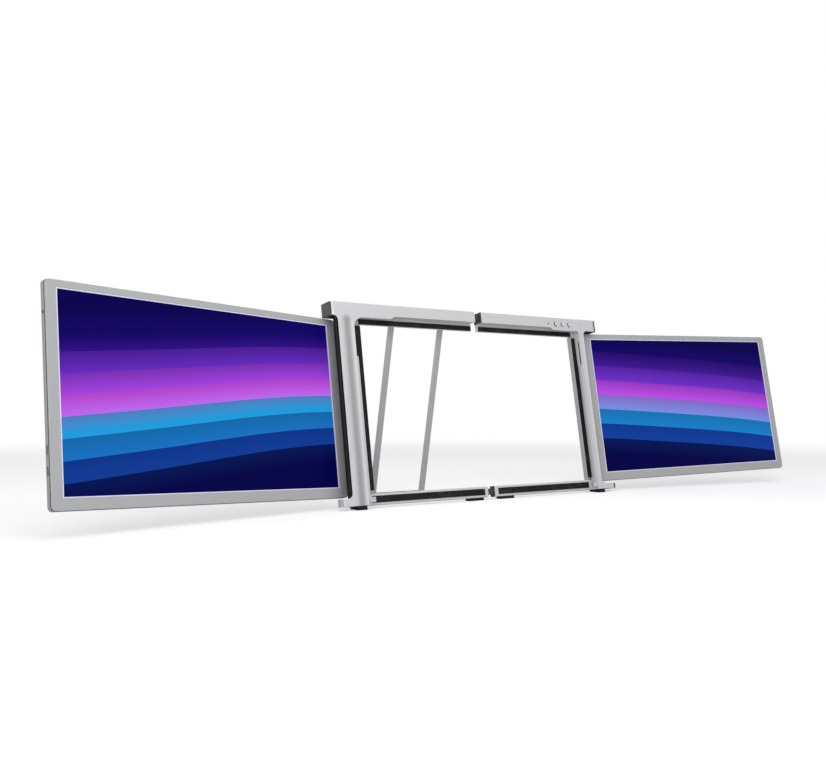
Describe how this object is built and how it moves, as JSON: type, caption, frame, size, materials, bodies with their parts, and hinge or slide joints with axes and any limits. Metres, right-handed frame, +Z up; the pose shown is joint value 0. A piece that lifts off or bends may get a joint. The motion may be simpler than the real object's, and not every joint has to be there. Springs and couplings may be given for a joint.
{
  "type": "laptop screen extender",
  "caption": "Two hinged portable displays on a telescoping frame that clips round a laptop's lid and stands on a folding leg.",
  "frame": {"origin": "middle of the object's footprint box, on the table", "axes": "+Z up, +X from the left screen to the right one as the user sees them, +Y away from the user"},
  "size_m": [1.1471, 0.1692, 0.2456],
  "materials": {
    "silver_frame": "satin",
    "screen_bezel": "satin",
    "screen_shell": "satin",
    "back_cover": "satin",
    "dark_cap": "matte",
    "rubber": "matte",
    "rail": "black anodised",
    "steel": "satin",
    "hinge_black": "black anodised",
    "display": "matte film over the panel",
    "backlight": "white",
    "circuit_board": "satin",
    "button_metal": "satin",
    "clip_metal": "satin",
    "leg_metal": "satin"
  },
  "bodies": {
    "left_frame": {"left_column": "silver_frame", "left_top_bar": "silver_frame", "left_bottom_bar": "silver_frame", "left_back_cover": "back_cover", "left_end_caps": "dark_cap", "left_lid_pads": "rubber", "top_rail": "rail", "bottom_rail": "rail", "left_hinge_pins": "steel", "left_hinge_washers": "steel", "left_feet": "rubber", "left_cover_screws": "steel", "stand_bracket": "dark_cap", "stand_pins": "steel"},
    "right_frame": {"right_column": "silver_frame", "right_top_bar": "silver_frame", "right_bottom_bar": "silver_frame", "right_back_cover": "back_cover", "right_end_caps": "dark_cap", "right_lid_pads": "rubber", "glide_bushes": "dark_cap", "button_board": "circuit_board", "power_light": "backlight", "right_hinge_pins": "steel", "right_hinge_washers": "steel", "right_feet": "rubber", "right_cover_screws": "steel"},
    "left_screen": {"left_screen_bezel": "screen_bezel", "left_screen_back": "screen_shell", "left_display_panel": "display", "left_backlight": "backlight", "left_driver_board": "circuit_board", "left_screen_ports": "steel", "left_hinge_spine": "hinge_black", "left_screen_screws": "steel"},
    "right_screen": {"right_screen_bezel": "screen_bezel", "right_screen_back": "screen_shell", "right_display_panel": "display", "right_backlight": "backlight", "right_driver_board": "circuit_board", "right_screen_ports": "steel", "right_hinge_spine": "hinge_black", "right_screen_screws": "steel"},
    "power_button": {"power_button": "button_metal"},
    "menu_button": {"menu_button": "button_metal"},
    "select_button": {"select_button": "button_metal"},
    "left_clip": {"left_lid_clip": "clip_metal"},
    "right_clip": {"right_lid_clip": "clip_metal"},
    "stand": {"stand_leg": "leg_metal", "stand_foot": "rubber"}
  },
  "joints": [
    {"name": "frame_width_slide", "type": "slide", "parent": "left_frame", "child": "right_frame", "axis": [1, 0, 0], "range_m": [-0.0095, 0.03]},
    {"name": "left_screen_hinge", "type": "hinge", "parent": "left_frame", "child": "left_screen", "pos_m": [-0.21959, -0.00111, 0.12154], "axis": [0, 0.165, 0.9863], "range_deg": [-13.3, 166.7]},
    {"name": "right_screen_hinge", "type": "hinge", "parent": "right_frame", "child": "right_screen", "pos_m": [0.19741, 0.00156, 0.12109], "axis": [0, -0.165, -0.9863], "range_deg": [-7.9, 172.1]},
    {"name": "stand_hinge", "type": "hinge", "parent": "left_frame", "child": "stand", "pos_m": [-0.08459, 0.03662, 0.23487], "axis": [1, 0, 0], "range_deg": [-19.76, 35]},
    {"name": "left_clip_slide", "type": "slide", "parent": "left_frame", "child": "left_clip", "axis": [0, 0.165, 0.9863], "range_m": [0, 0.033]},
    {"name": "right_clip_slide", "type": "slide", "parent": "right_frame", "child": "right_clip", "axis": [0, 0.165, 0.9863], "range_m": [0, 0.033]},
    {"name": "power_button_press", "type": "slide", "parent": "right_frame", "child": "power_button", "axis": [0, 0.9863, -0.165], "range_m": [0, 0.0008], "stiffness_N_per_m": 600},
    {"name": "menu_button_press", "type": "slide", "parent": "right_frame", "child": "menu_button", "axis": [0, 0.9863, -0.165], "range_m": [0, 0.0008], "stiffness_N_per_m": 600},
    {"name": "select_button_press", "type": "slide", "parent": "right_frame", "child": "select_button", "axis": [0, 0.9863, -0.165], "range_m": [0, 0.0008], "stiffness_N_per_m": 600}
  ]
}
